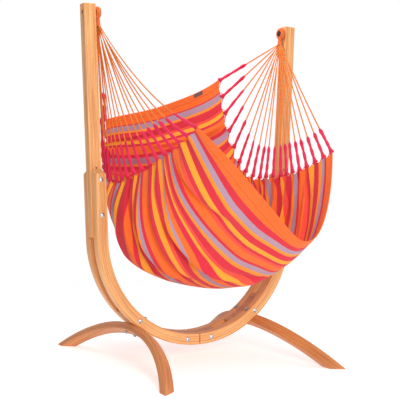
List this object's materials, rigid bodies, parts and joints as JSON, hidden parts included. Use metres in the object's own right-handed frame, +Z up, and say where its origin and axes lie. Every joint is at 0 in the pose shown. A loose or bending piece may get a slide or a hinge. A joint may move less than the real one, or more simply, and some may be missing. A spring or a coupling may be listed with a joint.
{
  "type": "hammock on stand",
  "caption": "Striped woven hammock chair hung between the tall posts of a laminated wooden stand, with a U-shaped base of curved boards on arched feet.",
  "frame": {"origin": "on the ground, at the middle of the stand", "axes": "+X from the left post to the right post, +Y to the back, +Z up"},
  "size_m": [1.4236, 1.4268, 2.0012],
  "materials": {
    "frame_wood": "satin varnish on laminated wood",
    "block_wood": "satin varnish, end grain",
    "steel": "zinc plated",
    "orange_cord": "twisted cotton cord",
    "crimson_cord": "braided cotton cord",
    "striped_cloth": "woven cotton in orange, crimson, yellow and lavender stripes",
    "orange_cloth": "woven cotton",
    "dark_label": "plain woven tab"
  },
  "bodies": {
    "stand": {"post_left": "frame_wood", "post_right": "frame_wood", "arm_left_front": "frame_wood", "arm_left_rear": "frame_wood", "arm_right_front": "frame_wood", "arm_right_rear": "frame_wood", "foot_left": "frame_wood", "foot_right": "frame_wood", "spacer_left": "block_wood", "spacer_right": "block_wood", "splice_block": "block_wood", "arm_bolts_left": "steel", "arm_bolts_right": "steel", "spacer_bolt_left": "steel", "spacer_bolt_right": "steel", "splice_bolts": "steel", "foot_bolts_left": "steel", "foot_bolts_right": "steel", "peg_bolt_left": "steel", "peg_bolt_right": "steel", "peg_sleeve_left": "block_wood", "peg_sleeve_right": "block_wood", "peg_washer_left": "steel", "peg_washer_right": "steel"},
    "hammock": {"loop_left": "orange_cord", "loop_right": "orange_cord", "neck_left": "orange_cord", "neck_right": "orange_cord", "strings_left_back": "orange_cord", "strings_left_middle": "orange_cord", "strings_left_front": "orange_cord", "strings_right_back": "orange_cord", "strings_right_middle": "orange_cord", "strings_right_front": "orange_cord", "tails_left_back": "crimson_cord", "tails_left_middle": "crimson_cord", "tails_left_front": "crimson_cord", "tails_right_back": "crimson_cord", "tails_right_middle": "crimson_cord", "tails_right_front": "crimson_cord", "cloth": "striped_cloth", "back_hem": "orange_cloth", "front_hem": "orange_cloth", "label_tab": "dark_label"}
  },
  "joints": [
    {"name": "hammock_swing", "type": "hinge", "parent": "stand", "child": "hammock", "pos_m": [0, 0, 1.955], "axis": [1, 0, 0], "range_deg": [-25, 25]}
  ]
}
